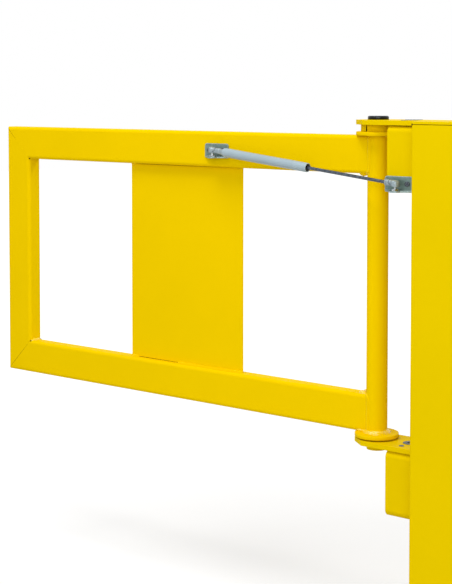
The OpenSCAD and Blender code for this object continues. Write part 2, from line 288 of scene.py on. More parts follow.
paint = {
    # The post's yellow is a darker copy of the leaf's: painted shade.
    "leaf": shade(239, 201, 0), "post": shade(229, 197, 0),
    "thinner": 0.97,    # how much darker it is where the powder lies a little thinner
    "edge": shade(252, 219, 0),    # paler along the edges: thin powder there, and a painted highlight where the edges catch light
    "edgeWidth": 1.4 * mm,
    "wearAndHighlightStretch": (18 * mm, 0.3, 0.8),    # size of the paler stretches along the edges, least and most
    "patch": 260 * mm,    # size of the slow changes of shade
    "fleck": 6 * mm, "fleckMost": 0.5, "fleckRough": 0.6, "fleckMiddle": (0.45, 0.8),    # fine changes
    "sheen": 30 * mm,    # size of the changes of roughness
    # bumps: size, detail, strength and depth
    "peel": (2.2 * mm, 1, 0.10, 0.05 * mm),
    "smooth": {"rough": (0.36, 0.46), "gloss": 0.006, "tint": (1, 0.86, 0.05, 1),
               "wave": (40 * mm, 1, 0.05, 0.4 * mm)},
    "weld": {"rough": (0.10, 0.34), "gloss": 0.06, "tint": (1, 0.86, 0.05, 1),
             "wave": (2.6 * mm, 3, 0.8, 0.7 * mm)},
    # the runs that glint
    "lump": {"rough": (0.05, 0.16), "gloss": 0.8, "tint": (1, 1, 0.9, 1),
             "wave": (2.6 * mm, 3, 1, 1.2 * mm)},
}


# Powder coat of one colour: slow and fine patches lie a little darker, the edges are paler in stretches, as thin
# powder and as a painted highlight, and the kind says how rough, glossy and wavy it is
def yellowPaint(name, colour, kind):
    material, tree, shader = newMaterial(name, Specular_IOR_Level=kind["gloss"], Specular_Tint=kind["tint"])
    darker = tuple(paint["thinner"] * c for c in colour)
    tone = mixed(tree, clouds(tree, paint["patch"], 2, middle=slowMiddle), colour, darker)
    fleck = clouds(tree, paint["fleck"], 4, 0, paint["fleckMost"], paint["fleckRough"], paint["fleckMiddle"])
    tone = mixed(tree, fleck, tone, darker)
    stretchSize, least, most = paint["wearAndHighlightStretch"]
    wearAndHighlight = addNode(tree, "ShaderNodeMath", operation="MULTIPLY")
    tree.links.new(edgeHighlightShare(tree, paint["edgeWidth"]), wearAndHighlight.inputs[0])
    tree.links.new(clouds(tree, stretchSize, 3, least, most), wearAndHighlight.inputs[1])
    tree.links.new(mixed(tree, wearAndHighlight.outputs[0], tone, paint["edge"]), shader.inputs["Base Color"])
    tree.links.new(clouds(tree, paint["sheen"], 3, *kind["rough"]), shader.inputs["Roughness"])
    bumped(tree, shader, paint["peel"], kind["wave"])
    return material


zinc = {
    "bright": (shade(158, 174, 180), shade(116, 130, 136)),
    "sheet": (shade(124, 148, 142), shade(94, 114, 109)),
    "screw": (shade(80, 86, 96), shade(50, 54, 62)),
    "rim": shade(196, 214, 226), "gloss": 0.4, "rough": (0.30, 0.46),
    "cloud": 9 * mm, "cloudRough": 0.65, "sheen": 4 * mm, "grain": (1.5 * mm, 3, 0.12, 0.06 * mm),
}


# Zinc with a share of metal in its look and a paler rim this wide along its edges, a painted highlight
def zincPlate(name, tones, metallic, rim):
    material, tree, shader = newMaterial(name, Metallic=metallic, Specular_IOR_Level=zinc["gloss"])
    tone = mixed(tree, clouds(tree, zinc["cloud"], 4, rough=zinc["cloudRough"]), *tones)
    tree.links.new(mixed(tree, edgeHighlightShare(tree, rim), tone, zinc["rim"]), shader.inputs["Base Color"])
    tree.links.new(clouds(tree, zinc["sheen"], 3, *zinc["rough"]), shader.inputs["Roughness"])
    bumped(tree, shader, zinc["grain"])
    return material


springPaint = {"tones": (shade(158, 176, 184), shade(151, 169, 178)), "edge": shade(214, 222, 228),
               "edgeWidth": 1 * mm, "gloss": 0.35, "rough": (0.34, 0.42),
               "cloud": 60 * mm, "sheen": 12 * mm, "grain": (1.2 * mm, 1, 0.03, 0.01 * mm)}


# Grey paint, paler along its edges as a painted highlight
def springGrey():
    material, tree, shader = newMaterial("springGrey", Specular_IOR_Level=springPaint["gloss"])
    tone = mixed(tree, clouds(tree, springPaint["cloud"], 2, middle=slowMiddle), *springPaint["tones"])
    tone = mixed(tree, edgeHighlightShare(tree, springPaint["edgeWidth"]), tone, springPaint["edge"])
    tree.links.new(tone, shader.inputs["Base Color"])
    tree.links.new(clouds(tree, springPaint["sheen"], 2, *springPaint["rough"]), shader.inputs["Roughness"])
    bumped(tree, shader, springPaint["grain"])
    return material


metal = {"cloud": 5 * mm, "sheen": 3 * mm, "marks": (2, 0.06, 0.02 * mm)}    # detail, strength and depth


# A dark or turned metal: two tones in clouds of one size, with fine turning marks
def turnedMetal(name, tones, rough, marks, metallic=1.0):
    material, tree, shader = newMaterial(name, Metallic=metallic)
    tree.links.new(mixed(tree, clouds(tree, metal["cloud"], 4), *tones), shader.inputs["Base Color"])
    tree.links.new(clouds(tree, metal["sheen"], 2, *rough), shader.inputs["Roughness"])
    bumped(tree, shader, (marks, *metal["marks"]))
    return material


plastic = {"tones": (shade(4, 5, 8), shade(10, 11, 14)), "edge": shade(46, 46, 44), "edgeWidth": 1 * mm,
           "gloss": 0.3, "tint": (0.8, 0.9, 1, 1), "rough": (0.1, 0.2),
           "cloud": 8 * mm, "sheen": 3 * mm, "grain": (2.4 * mm, 2, 0.5, 0.4 * mm)}


# Black plastic, paler along its edges as a painted highlight
def blackPlastic():
    sheen = {"Specular_IOR_Level": plastic["gloss"], "Specular_Tint": plastic["tint"]}
    material, tree, shader = newMaterial("blackPlastic", **sheen)
    tone = mixed(tree, clouds(tree, plastic["cloud"], 4), *plastic["tones"])
    tone = mixed(tree, edgeHighlightShare(tree, plastic["edgeWidth"]), tone, plastic["edge"])
    tree.links.new(tone, shader.inputs["Base Color"])
    tree.links.new(clouds(tree, plastic["sheen"], 2, *plastic["rough"]), shader.inputs["Roughness"])
    bumped(tree, shader, plastic["grain"])
    return material


joint = {"rough": 0.8, "gloss": 0.05, "cloud": 5 * mm, "grain": (1 * mm, 2, 0.2, 0.05 * mm)}


# A dark colour for narrow joints: the unpainted seams and weld pits, and painted shade in gaps, grooves and
# recesses
def jointAndShadeTone(name, dark, light):
    material, tree, shader = newMaterial(name, Roughness=joint["rough"], Specular_IOR_Level=joint["gloss"])
    tree.links.new(mixed(tree, clouds(tree, joint["cloud"], 3), dark, light), shader.inputs["Base Color"])
    bumped(tree, shader, joint["grain"])
    return material


leafPaint = yellowPaint("leafPaint", paint["leaf"], paint["smooth"])
postPaintShaded = yellowPaint("postPaintShaded", paint["post"], paint["smooth"])
weldPaint = yellowPaint("weldPaint", paint["leaf"], paint["weld"])
lumpPaint = yellowPaint("lumpPaint", paint["leaf"], paint["lump"])
brightZinc = zincPlate("brightZinc", zinc["bright"], 0.3, 0.8 * mm)
sheetZinc = zincPlate("sheetZinc", zinc["sheet"], 0.4, 3 * mm)
screwZinc = zincPlate("screwZinc", zinc["screw"], 0.5, 0.5 * mm)
pinShadeBlack = turnedMetal("pinShadeBlack", (shade(22, 22, 22), shade(34, 33, 31)), (0.35, 0.5), 0.8 * mm, 0.5)
# Ball studs: clouds of near white and near black, painted glints and painted shade
studGlintSteel = turnedMetal("studGlintSteel", (shade(216, 224, 228), shade(34, 38, 40)), (0.12, 0.2), 0.6 * mm, 0.8)
rodSteel = turnedMetal("rodSteel", (shade(92, 102, 116), shade(48, 54, 64)), (0.16, 0.26), 0.6 * mm, 0.5)
bearingBrass = turnedMetal("bearingBrass", (shade(214, 186, 112), shade(184, 150, 84)), (0.25, 0.4), 0.8 * mm)
# Near black: painted shade in the stop's slit, the screw sockets and the pit at the cap's corner
paintedShadeBlack = jointAndShadeTone("paintedShadeBlack", shade(14, 11, 4), shade(26, 20, 6))
# Dark: the weld pits, and painted shade in joints and grooves
darkPitsAndShade = jointAndShadeTone("darkPitsAndShade", shade(62, 36, 2), shade(88, 56, 3))
paleSeam = jointAndShadeTone("paleSeam", shade(140, 108, 4), shade(170, 134, 4))

finishes = {"yellow_paint": leafPaint, "zinc_plate": brightZinc, "spring_grey": springGrey(),
            "rod_steel": rodSteel, "black_plastic": blackPlastic(), "bearing_brass": bearingBrass}

# Cut plates, turned pieces and caps get their edges broken, as the paint does on cut steel
edges = {
    "width": {"plates": 0.8 * mm, "caps": 0.4 * mm}, "sharpAbove": 40, "segments": 2,
    "plates": ["base_plate", "post_cap", "upper_hinge_plate", "lower_hinge_plate", "upper_arm_end",
               "lower_arm_end", "centre_plate", "upper_flange", "lower_flange", "lower_hinge_pin",
               "stop_fixed", "stop_moving"],
    "caps": ["pin_cap"],
}


# Merges the node's doubled points, so that the bevel finds its edges
def breakEdges(node, width):
    weld = node.modifiers.new("merge", "WELD")
    weld.merge_threshold = 0.01 * mm
    bevel = node.modifiers.new("edges", "BEVEL")
    bevel.width, bevel.segments, bevel.limit_method = width, edges["segments"], "ANGLE"
    bevel.angle_limit, bevel.harden_normals = math.radians(edges["sharpAbove"]), True


slotOf = {s["node"]: s["material_slot"] for s in frame["record"]["subparts"]}
bodyNodes = frame["record"]["behaviour"]["bodies"]
for name, node in nodes.items():
    finish = finishes[slotOf[name]]
    # The upper pin is near black: painted shade, seen through the stop's slit
    if name == "upper_hinge_pin":
        finish = pinShadeBlack
    elif name.endswith("ball_stud"):
        finish = studGlintSteel
    elif finish == leafPaint and name in bodyNodes["post_body"]:
        finish = postPaintShaded
    for place in node.material_slots:
        place.material = finish
    for group, width in edges["width"].items():
        if name in edges[group]:
            breakEdges(node, width)
print("gate: finishes on", len(nodes), "nodes")


# Lowest and highest corner of a node
def box(node):
    low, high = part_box(node)
    return np.array(low), np.array(high)


tubeLow, tubeHigh = box("hinge_tube")
tubeR = (tubeHigh[0] - tubeLow[0]) / 2
hingeX = (tubeHigh[0] + tubeLow[0]) / 2
leafLow, leafHigh = tubeLow[2], tubeHigh[2]
railLow, railHigh = box("top_rail")
railD = railHigh[1] - railLow[1]
railFace = railHigh[2] - railLow[2]
railCorner, armCorner, postCorner = 8 * mm, 14 * mm, 4 * mm
leafLeft = box("latch_stile")[0][0]
innerX = leafLeft + railFace
plateLow, plateHigh = box("centre_plate")
plateSpan = plateHigh[0] - plateLow[0]
postLow, postHigh = box("post")
postSide = postHigh[0] - postLow[0]
innerCorners = ((leafHigh - railFace, -1), (leafLow + railFace, 1))    # height, and whether it opens up
weldAngle, sheetAngle = 60, 50    # degrees: faces that meet at less are shaded as one surface


# A fan of points at each of the four corners: which corner each belongs to, and which way it faces
def cornerFans(perCorner):
    angle = np.radians(np.concatenate([np.linspace(q, q + 90, perCorner) for q in (0, 90, 180, 270)]))
    corners = np.repeat([[1, 1], [-1, 1], [-1, -1], [1, -1]], perCorner, 0)
    return corners, np.stack([np.cos(angle), np.sin(angle)], -1)


# Outline of a rounded rectangle in two coordinates, and its outward normals
def roundedOutline(width, height, corner, perCorner):
    corners, normal = cornerFans(perCorner)
    return corners * [width / 2 - corner, height / 2 - corner] + corner * normal, normal


railWeld = {"width": 9 * mm, "height": 2.6 * mm, "step": 3.2 * mm, "spacing": 0.8 * mm,
            "bare": 1.5 * mm}    # depth of the rail's outer side that stays without weld


# The rail's outline laid on the tube, from one corner of its outer side, round the side that faces the
# opening, to the other
def railBead(midZ, openUp, seed):
    points, normal = roundedOutline(railD, railFace, railCorner, 12)
    keep = points[:, 1] * openUp > -railFace / 2 + railWeld["bare"]
    points, normal = points[keep], normal[keep]
    order = np.argsort(np.arctan2(points[:, 0], points[:, 1] * openUp))
    (y, z), (ny, nz) = points[order].T, normal[order].T
    x = -np.sqrt(np.maximum(tubeR ** 2 - y ** 2, 0))
    path = track(hingeX + x, y, midZ + z)
    spaced, lengths = evenly(path, railWeld["spacing"]), lengthsTo(path)
    aim = track(x / tubeR, ny + y / tubeR, nz)
    aims = readAt(np.linspace(0, lengths[-1], len(spaced)), lengths, aim)
    return bead(spaced, aims, railWeld, seed=seed)


flangeWeld = {"width": 19 * mm, "height": 6 * mm, "step": 4 * mm, "ripple": 0.05, "upperSize": 0.35}


# A full round of bead where the tube stands on a flange
def flangeBead(z, outwards, size, seed):
    angle = np.linspace(0, fullTurn, 240, endpoint=False)
    around = track(np.cos(angle), np.sin(angle), 0)
    path = np.array([hingeX, 0, z]) + tubeR * around
    return bead(path, around + np.array([0, 0, outwards]), flangeWeld, size, joined=True, seed=seed)


leafWelds = [
    railBead(leafHigh - railFace / 2, -1, 3),
    railBead(leafLow + railFace / 2, 1, 4),
    flangeBead(leafHigh, -1, flangeWeld["upperSize"], 5),
]
leafLumps = [flangeBead(leafLow, 1, 1, 6)]    # the runs that stand proud and shine

# The groove between the bottom rail's lower corners and the flange, filled out to the flange's rim
grooveWeld = {"width": 10 * mm, "height": 3.6 * mm, "step": 3 * mm, "lift": 2.6 * mm, "inset": 3 * mm,
              "short": 3 * mm, "stop": 0.5}    # stops at this share of the tube's radius
flangeLow, flangeHigh = box("lower_flange")
flangeR = (flangeHigh[1] - flangeLow[1]) / 2
grooveY = railD / 2 - grooveWeld["inset"]
rim = math.sqrt(flangeR ** 2 - grooveY ** 2) - grooveWeld["short"]
for face in (-1, 1):
    x = hingeX + np.linspace(-rim, -grooveWeld["stop"] * tubeR, 30)
    path = track(x, face * grooveY, leafLow + grooveWeld["lift"])
    leafLumps.append(bead(path, [0, face, 0], grooveWeld, seed=24 + face))

# Lumps where a run starts or stops beside the tube, under the top rail and on the bottom rail
tubeLump = {"width": 15 * mm, "height": 6 * mm, "step": 6 * mm, "ripple": 0.16,
            "reach": 17 * mm, "into": 2 * mm, "inset": 9 * mm, "lean": 0.3}
for count, (z, up) in enumerate(innerCorners):
    x = hingeX - tubeR + np.linspace(-tubeLump["reach"], tubeLump["into"], 24)
    for face in (-1, 1):
        aim = [0, tubeLump["lean"] * face, up]
        run = bead(track(x, face * tubeLump["inset"], z), aim, tubeLump, seed=30 + 2 * count + face)
        (leafWelds if up < 0 else leafLumps).append(run)

# Short runs along the centre plate: share of its width from and to, side, end, and size against the usual
plateWeld = {
    "width": 5.5 * mm, "height": 2.6 * mm, "step": 3.4 * mm,
    "points": 420, "fewest": 12,    # points along a run of the whole width, and along the shortest
    "runs": [(0.0, 0.065, -1, "foot", 1.5), (0.43, 0.50, -1, "foot", 1.3), (0.49, 0.92, -1, "foot", 0.9),
             (0.91, 1.0, -1, "foot", 1.5), (0.0, 0.045, -1, "head", 1.3), (0.955, 1.0, -1, "head", 1.3),
             (0.0, 0.12, 1, "foot", 1), (0.42, 0.58, 1, "foot", 1), (0.88, 1.0, 1, "foot", 1),
             (0.0, 0.12, 1, "head", 1), (0.42, 0.58, 1, "head", 1), (0.88, 1.0, 1, "head", 1)],
}
for count, (start, stop, side, end, size) in enumerate(plateWeld["runs"]):
    steps = max(plateWeld["fewest"], int((stop - start) * plateWeld["points"]))
    x = np.linspace(start, stop, steps) * plateSpan + plateLow[0]
    y = (plateLow if side < 0 else plateHigh)[1]
    z, up = (plateLow[2], 1) if end == "foot" else (plateHigh[2], -1)
    leafWelds.append(bead(track(x, y, z), [0, side, up], plateWeld, size, seed=60 + count))

# Fillets in the inner corners of the frame, across its depth
cornerWeld = {"width": 11 * mm, "height": 4.6 * mm, "step": 3.6 * mm, "short": 4 * mm, "upperSize": 0.55}
for count, (z, up) in enumerate(innerCorners):
    y = np.linspace(-railD / 2 + cornerWeld["short"], railD / 2 - cornerWeld["short"], 48)
    size = cornerWeld["upperSize"] if up < 0 else 1
    run = bead(track(innerX, y, z), [1, 0, up], cornerWeld, size, seed=40 + count)
    (leafWelds if up < 0 else leafLumps).append(run)
addPiece("leaf_welds", leafWelds, "leaf", weldPaint, weldAngle)
addPiece("leaf_weld_lumps", leafLumps, "leaf", lumpPaint, weldAngle)


# Directions square to the flats of a rounded outline that turn over at its corners: each offset from the
# middle, as a share of half the width, to a high power, made one long
def squareAim(offset, half, power):
    return unit(np.sign(offset) * np.abs(offset / half) ** power)


# Arms on the post, post on its base plate
postWeld = {"width": 9 * mm, "height": 3.6 * mm, "step": 3.4 * mm,
            "armSpacing": 1 * mm, "armPower": 9, "footSpacing": 1.2 * mm, "footPower": 12}
postWelds = []
for count, name in enumerate(("upper_arm", "lower_arm")):
    low, high = box(name)
    middle, size = (low + high) / 2, high - low
    y, z = roundedOutline(size[1], size[2], armCorner, 16)[0].T
    path = evenly(track(postLow[0], y, z + middle[2]), postWeld["armSpacing"], True)
    offset = path - np.array([postLow[0], 0, middle[2]])
    aim = squareAim(offset, np.array([1, size[1] / 2, size[2] / 2]), postWeld["armPower"])
    postWelds.append(bead(path, aim + np.array([-1, 0, 0]), postWeld, joined=True, seed=50 + count))
x, y = roundedOutline(postSide, postSide, postCorner, 8)[0].T
path = evenly(track(x, y, postLow[2]), postWeld["footSpacing"], True)
aim = squareAim(path * [1, 1, 0], postSide / 2, postWeld["footPower"])
postWelds.append(bead(path, aim + np.array([0, 0, 1]), postWeld, joined=True, seed=60))
addPiece("post_welds", postWelds, "post_body", weldPaint, weldAngle)
print("gate: welds")

# What the joint lines share: how proud they stand against their half width, the shares of the width that they
# start and end with, and the part of the length, one in so many, in which they open
ribbon = {"proud": 0.35, "start": 0.3, "end": 0.2, "opening": 12}


# A thin ribbon that stands a hair proud, for an unpainted joint and for painted shade in joints and gaps. Unless
# it is joined, it opens quickly at its start and thins out towards its end, as the root of one less the cube of
# the share of its length.
def jointLine(path, aim, width, joined=False):
    aim = np.broadcast_to(np.array(aim, float), path.shape)
    side = unit(np.cross(alongPath(path, joined), aim))
    phi = np.linspace(0, fullTurn, 8, endpoint=False)[None, :, None]
    size = width / 2
    if not joined:
        share = np.linspace(0, 1, len(path))[:, None, None]
        thinning = np.sqrt(np.clip(1 - share ** 3, ribbon["end"] ** 2, 1))
        size = size * thinning * np.clip(share * ribbon["opening"], ribbon["start"], 1)
    ring = np.sin(phi) * side[:, None] + ribbon["proud"] * np.cos(phi) * aim[:, None]
    return skin(path[:, None] + size * ring, joined)


# A straight line along X at one height and depth
def straightLine(x0, x1, y, z, aim, width):
    return jointLine(track(np.linspace(x0, x1, 40), y, z), aim, width)


# Along the mitres of the latch stile, by shares of the rail's width, and the pits that the weld leaves at
# their inner ends
mitre = {"width": 1.0 * mm, "start": 0.02, "upper": 0.42, "lower": 0.95}
mitrePit = {"width": 2.6 * mm, "height": 1.3 * mm, "step": 3 * mm, "sunk": 0.3 * mm}
lines, pits = [], []
for z, up in ((leafHigh, 1), (leafLow, -1)):
    far = np.linspace(mitre["start"], mitre["upper"] if up > 0 else mitre["lower"], 40)
    drop = np.clip(1 - far * railFace / railCorner, 0, 1)
    for face in (-1, 1):
        y = face * railD / 2 - face * railCorner * (1 - np.sqrt(1 - drop ** 2))
        path = track(leafLeft + far * railFace, y, z - up * far * railFace)
        lines.append(jointLine(path, [0, face, 0], mitre["width"]))
        y = np.linspace(0, railCorner, 12) * -face + face * railD / 2
        path = track(innerX - mitrePit["sunk"], y, z - up * (railFace - mitrePit["sunk"]))
        pits.append(bead(path, [1, 0, -up], mitrePit, around=8))

# Open joints along the front of the centre plate, painted dark as the shade in them: height, share of its width
# from and to, and width
plateJoints = [(plateLow[2], 0.06, 0.44, 1.4 * mm), (plateHigh[2], 0.01, 0.97, 2.4 * mm)]
for z, start, stop, width in plateJoints:
    ends = (plateLow[0] + start * plateSpan, plateLow[0] + stop * plateSpan)
    pits.append(straightLine(*ends, plateLow[1], z, [0, -1, 0], width))
addPiece("leaf_joint_lines", lines, "leaf", paleSeam, weldAngle)
addPiece("leaf_weld_pits_and_shade", pits, "leaf", darkPitsAndShade, weldAngle)

# Painted shade round the post under its cap, and in the grooves between hinge plates and arms
seam = {"cap": 1.3 * mm, "pit": 5 * mm, "pitSpacing": 0.4 * mm,
        "groove": 1.6 * mm, "grooveInset": 0.55, "grooveSunk": 0.7 * mm, "grooveLean": 0.4}
capLow, capHigh = box("post_cap")
points, normal = roundedOutline(*(capHigh - capLow)[:2], postCorner, 8)
path = track(points[:, 0] + (capLow[0] + capHigh[0]) / 2, points[:, 1], capLow[2])
capShadeLine = jointLine(path, track(normal[:, 0], normal[:, 1], 0), seam["cap"], True)
addPiece("post_cap_shade_line", [capShadeLine], "post_body", darkPitsAndShade, weldAngle)
nearCorner = (points < postCorner - postSide / 2).all(1)
capPitShade = jointLine(evenly(path[nearCorner], seam["pitSpacing"]), [-1, -1, 0], seam["pit"])
addPiece("post_cap_pit_shade", [capPitShade], "post_body", paintedShadeBlack, weldAngle)
grooves = []
for name in ("upper_arm", "lower_arm"):
    low, high = box(name)
    endPlate = box(name + "_end")[0][0]
    for face in (-1, 1):
        y = face * ((high[1] - low[1]) / 2 - seam["grooveInset"] * armCorner)
        aim = [0, face, seam["grooveLean"]]
        grooves.append(straightLine(endPlate, high[0], y, high[2] - seam["grooveSunk"], aim, seam["groove"]))
addPiece("arm_groove_shade_lines", grooves, "post_body", darkPitsAndShade, weldAngle)

# A dark ribbon on the end of the fixed stop: painted shade, seen through the slit beside the turning one
slit = {"angle": 259.3, "reach": 6 * mm, "gap": 0.2 * mm}
stopLow, stopHigh = box("stop_fixed")
turn = math.radians(slit["angle"])
outwards = np.array([math.cos(turn), math.sin(turn), 0])
onwards = np.array([-math.sin(turn), math.cos(turn), 0])
z = np.linspace(stopLow[2] + slit["gap"], stopHigh[2] - slit["gap"], 24)
stopR = -box("stop_moving")[0][1]
middle = np.array([hingeX, 0, 0]) + (stopR - slit["reach"] / 2 - slit["gap"]) * outwards
line = jointLine(middle + np.outer(z, [0, 0, 1]), onwards, slit["reach"])
addPiece("stop_slit_shade", [line], "post_body", paintedShadeBlack, weldAngle)
print("gate: joint lines")


# A round low head with a hexagon socket sunk in its top. The profile starts a little under the surface, goes
# up the outside in shares of the head's height and radius, and down the socket in shares of the key.
def socketScrew(head, height, key):
    outside = [(0, 0.97), (0.15, 1), (0.8, 1), (0.95, 0.97), (1, 0.9)]
    inside = [(1, 0.62, 0), (0.97, 0.58, 1), (0.45, 0.58, 1), (0.2, 0.2, 0)]
    levels = [(-0.2 * mm, 0.96 * head / 2)] + [(up * height, out * head / 2) for up, out in outside]
    return turned(levels + [(up * height, out * key, flats * key) for up, out, flats in inside])


# A dark disc at the bottom of a hexagon socket, as painted shade of its depth, in shares of its height and of the
# key
def keyHoleShade(height, key):
    levels = [(0, 0.5, 0.98), (1, 0.57, 0.98), (1.1, 0.5, 0.9)]
    return turned([(up * height, out * key, flats * key) for up, out, flats in levels])


hingeScrews = {
    "big": (29 * mm, 1.2 * mm, 12 * mm), "small": (11 * mm, 0.84 * mm, 5 * mm),    # head, height and key
    "bottom": (0.6 * mm, 12 * mm),    # height and key of the dark disc of painted shade
    "fromHinge": 82 * mm, "aside": 31 * mm,
}
screws, keyShades = [], []
for name in ("upper_hinge_plate", "lower_hinge_plate"):
    top = box(name)[1][2]
    place = hingeX + hingeScrews["fromHinge"]
    screws.append(skin(stood(socketScrew(*hingeScrews["big"]), (place, 0, top))))
    keyShades.append(skin(stood(keyHoleShade(*hingeScrews["bottom"]), (place, 0, top))))
    for side in (-1, 1):
        foot = (place, side * hingeScrews["aside"], top)
        screws.append(skin(stood(socketScrew(*hingeScrews["small"]), foot)))
addPiece("hinge_plate_screws", screws, "post_body", screwZinc)
addPiece("hinge_screw_key_shade", keyShades, "post_body", paintedShadeBlack)

anchors = {"washer": 30 * mm, "washerT": 3 * mm, "washerEdge": 0.4 * mm, "play": 0.3 * mm,
           "nut": 24 * mm, "nutH": 13 * mm, "lap": 0.4 * mm, "turn": 0.3,
           "stud": 16 * mm, "spare": 9 * mm, "pitch": 2 * mm, "depth": 0.5 * mm, "point": 1 * mm}


# The levels of a profile, and then the same ones again from its other end
def bothEnds(levels, height):
    return levels + [(height - up, *rest) for up, *rest in levels[::-1]]


# Washer, chamfered hexagon nut and the end of the threaded stud, on one line. The thread's radius rises from
# its root by its depth times the size of a sine along its height.
def anchorBolt(foot):
    outer, stud, nut = anchors["washer"] / 2, anchors["stud"] / 2, anchors["nut"]
    thick, height, edge = anchors["washerT"], anchors["nutH"], anchors["washerEdge"]
    washer = turned(bothEnds([(0, stud + anchors["play"]), (0, outer - edge), (edge, outer)], thick))
    chamfer = [(0, stud - anchors["lap"]), (0, 0.48 * nut), (0.05 * height, 0.52 * nut, nut),
               (0.15 * height, 0.6 * nut, nut)]
    nutRings = turned(bothEnds(chamfer, height)) + np.array([0, 0, thick])
    length, depth = thick + height + anchors["spare"], anchors["depth"]
    rise = np.arange(0, length, anchors["pitch"] / 4)
    thread = [(z, stud - depth + depth * abs(math.sin(math.pi * z / anchors["pitch"]))) for z in rise]
    studRings = turned([*thread, (length, stud - anchors["point"])], 32)
    nutSkin = skin(stood(nutRings, foot, turn=anchors["turn"]), True)
    return [skin(stood(washer, foot), True), nutSkin, skin(stood(studRings, foot))]


baseTop = box("base_plate")[1][2]
spacing = next(m for m in frame["record"]["mounts"] if m["name"] == "anchor_bolts")["dims"]
bolts = []
for x in (-0.5, 0.5):
    for y in (-0.5, 0.5):
        bolts += anchorBolt((x * spacing["spacing_x_mm"] * mm, y * spacing["spacing_y_mm"] * mm, baseTop))
addPiece("anchor_bolts", bolts, "post_body", brightZinc)

bracketSheet = {
    "thickness": 3 * mm, "bend": 2.6 * mm, "corner": 5 * mm, "rim": 0.6 * mm,
    "tip": 12 * mm, "out": 17 * mm,    # radius of the round tip, and how far out its middle lies
    "tipTurn": 1.55, "least": 0.3 * mm,    # the tip ends just short of a quarter turn, at this half width
    "topRim": 0.7,    # thickness of the sheet's upper edge, as a share
    "below": 2 * mm,    # from the rounded corners to the next loop
}


# A strip of sheet goes down the back, round the bend and out along the shelf. Its half width follows the
# plate's outline: rounded upper corners, then tapering sides, then the round tip.
def bentBracket(name):
    (left, _, bottom), (right, wall, top) = box(name)
    t, bend, corner, rim = (bracketSheet[key] for key in ("thickness", "bend", "corner", "rim"))
    tip, out = bracketSheet["tip"], bracketSheet["out"]
    half, middle = (right - left) / 2, (right + left) / 2
    back, shelf = wall - t / 2, bottom + t / 2
    rounded = top - corner * (1 - np.cos(np.linspace(0, quarter, 14)))
    down = np.r_[rounded, np.linspace(top - corner - bracketSheet["below"], shelf + bend, 8)]
    turn = np.linspace(0, quarter, 9)[1:]
    tipSteps = np.sin(np.linspace(0, bracketSheet["tipTurn"], 18))[1:]
    far = np.r_[np.linspace(back - bend, wall - out, 12)[1:], wall - out - tip * tipSteps]
    y = np.r_[0 * down + back, back - bend + bend * np.cos(turn), far]
    z = np.r_[down, shelf + bend - bend * np.sin(turn), 0 * far + shelf]
    across = np.r_[0 * down, turn, 0 * far + quarter]    # how far the sheet has turned
    drop, reach = top - z, wall - y
    upper = half - corner + np.sqrt(np.maximum(corner ** 2 - np.maximum(corner - drop, 0) ** 2, 0))
    taper = half + (tip - half) * np.clip((reach - t) / (out - t), 0, 1)
    tipWidth = np.sqrt(np.maximum(tip ** 2 - (reach - out) ** 2, bracketSheet["least"] ** 2))
    width = np.where(reach < out, np.minimum(upper, taper), tipWidth)
    corners, facing = cornerFans(4)
    edge = np.minimum(rim, width)[:, None]
    side = corners[:, 0] * (width[:, None] - edge) + edge * facing[:, 0]
    through = corners[:, 1] * (t / 2 - rim) + rim * facing[:, 1] + 0 * side
    through[0] *= bracketSheet["topRim"]
    y, z, across = y[:, None], z[:, None], across[:, None]
    return skin(track(middle + side, y + through * np.cos(across), z - through * np.sin(across)))


bracketScrews = {"size": (11 * mm, 3 * mm, 5 * mm), "fromEnd": 14 * mm, "above": 1 * mm}
for name, body in (("arm_bracket", "post_body"), ("leaf_bracket", "leaf")):
    low, high = box(name)
    plate = addPiece(name + "_sheet", [bentBracket(name)], body, sheetZinc, sheetAngle)
    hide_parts(name)
    heads = []
    for x in (low[0] + bracketScrews["fromEnd"], high[0] - bracketScrews["fromEnd"]):
        foot = (x, high[1] - bracketSheet["thickness"], (low[2] + high[2]) / 2 + bracketScrews["above"])
        heads.append(skin(stood(socketScrew(*bracketScrews["size"]), foot, (0, -1, 0))))
    addPiece(name + "_screws", heads, body, screwZinc)
print("gate: brackets, screws and bolts")

joints = {j["name"]: j for j in frame["joints"]}
slide = np.array(joints["cylinder_slide"]["axis"], float)
springAxis = slide / np.linalg.norm(slide)    # from the leaf's ball to the arm's ball
pivotAxis = np.array(joints["rod_pivot"]["axis"], float)
armBall = np.array(joints["rod_pivot"]["pos_m"], float)
studLow, studHigh = box("leaf_ball_stud")
springLength = (armBall[0] - (studLow[0] + studHigh[0]) / 2) / springAxis[0]
leafBall = armBall - springLength * springAxis

cylinder = {
    "start": 35 * mm, "end": 280 * mm, "radius": 10 * mm, "bore": 8.2 * mm, "gland": 3.7 * mm,
    "dome": [(0, 4.5), (0.1, 6.8), (0.7, 8.4), (1.8, 9.4), (3.6, 9.9)],    # the closed end, in millimetres
}


# Profiles turned about the spring's own line, in distance from the leaf's ball
def onSpring(levels, around=48, joined=False):
    return skin(stood(turned(levels, around), leafBall, springAxis), joined)


# Levels whose places are given in millimetres inside the cylinder's open end
def insideEnd(levels):
    return [(cylinder["end"] - inside * mm, radius) for inside, radius in levels]


